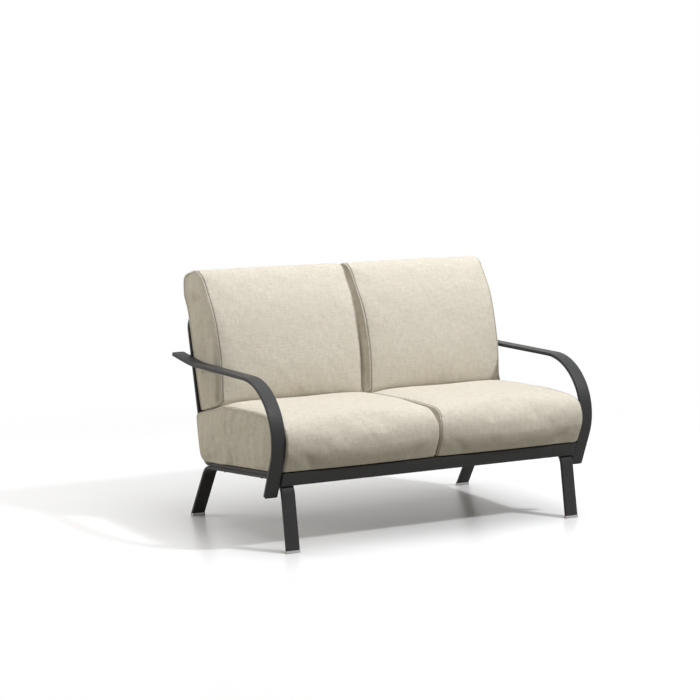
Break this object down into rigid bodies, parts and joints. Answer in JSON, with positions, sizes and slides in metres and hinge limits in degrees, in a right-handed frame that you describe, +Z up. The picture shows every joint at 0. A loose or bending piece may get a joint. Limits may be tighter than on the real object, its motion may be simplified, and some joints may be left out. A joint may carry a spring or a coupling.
{
  "type": "patio loveseat",
  "caption": "Outdoor loveseat with curved flat-bar metal arms, splayed bent-bar legs, and loose thick cushions on its seat and back.",
  "frame": {"origin": "on the floor, at the middle of the bounding box in X and Y", "axes": "+Z up; -Y is the front, towards which the sitters face; X runs along the seat, with the arm at the right of a viewer who looks at the front at +X"},
  "size_m": [1.32, 0.7953, 0.9091],
  "materials": {
    "frame": "fine-texture graphite powder coat",
    "cushion": "woven beige outdoor fabric with a slubbed crosshatch",
    "glide": "translucent white plastic",
    "bolt": "black",
    "spacer": "black"
  },
  "bodies": {
    "root": {"arm_bolts": "bolt", "arm_left": "frame", "arm_right": "frame", "arm_spacer_left": "spacer", "arm_spacer_right": "spacer", "back_bow": "frame", "back_cushion_left": "cushion", "back_cushion_right": "cushion", "back_lower_rail": "frame", "back_slat_1": "frame", "back_slat_2": "frame", "back_slat_3": "frame", "back_slat_4": "frame", "back_slat_5": "frame", "back_slat_6": "frame", "back_slat_7": "frame", "back_slat_8": "frame", "center_bar": "frame", "front_rail": "frame", "glide_front_left": "glide", "glide_front_right": "glide", "glide_rear_left": "glide", "glide_rear_right": "glide", "leg_bar_left": "frame", "leg_bar_right": "frame", "leg_bolts": "bolt", "rail_end_plate_left": "spacer", "rail_end_plate_right": "spacer", "rear_rail": "frame", "seat_cushion_left": "cushion", "seat_cushion_right": "cushion", "seat_slat_1": "frame", "seat_slat_2": "frame", "seat_slat_3": "frame", "seat_slat_4": "frame", "seat_slat_5": "frame", "seat_slat_6": "frame", "seat_slat_7": "frame", "seat_slat_8": "frame", "side_frame_left": "frame", "side_frame_right": "frame"}
  },
  "joints": []
}
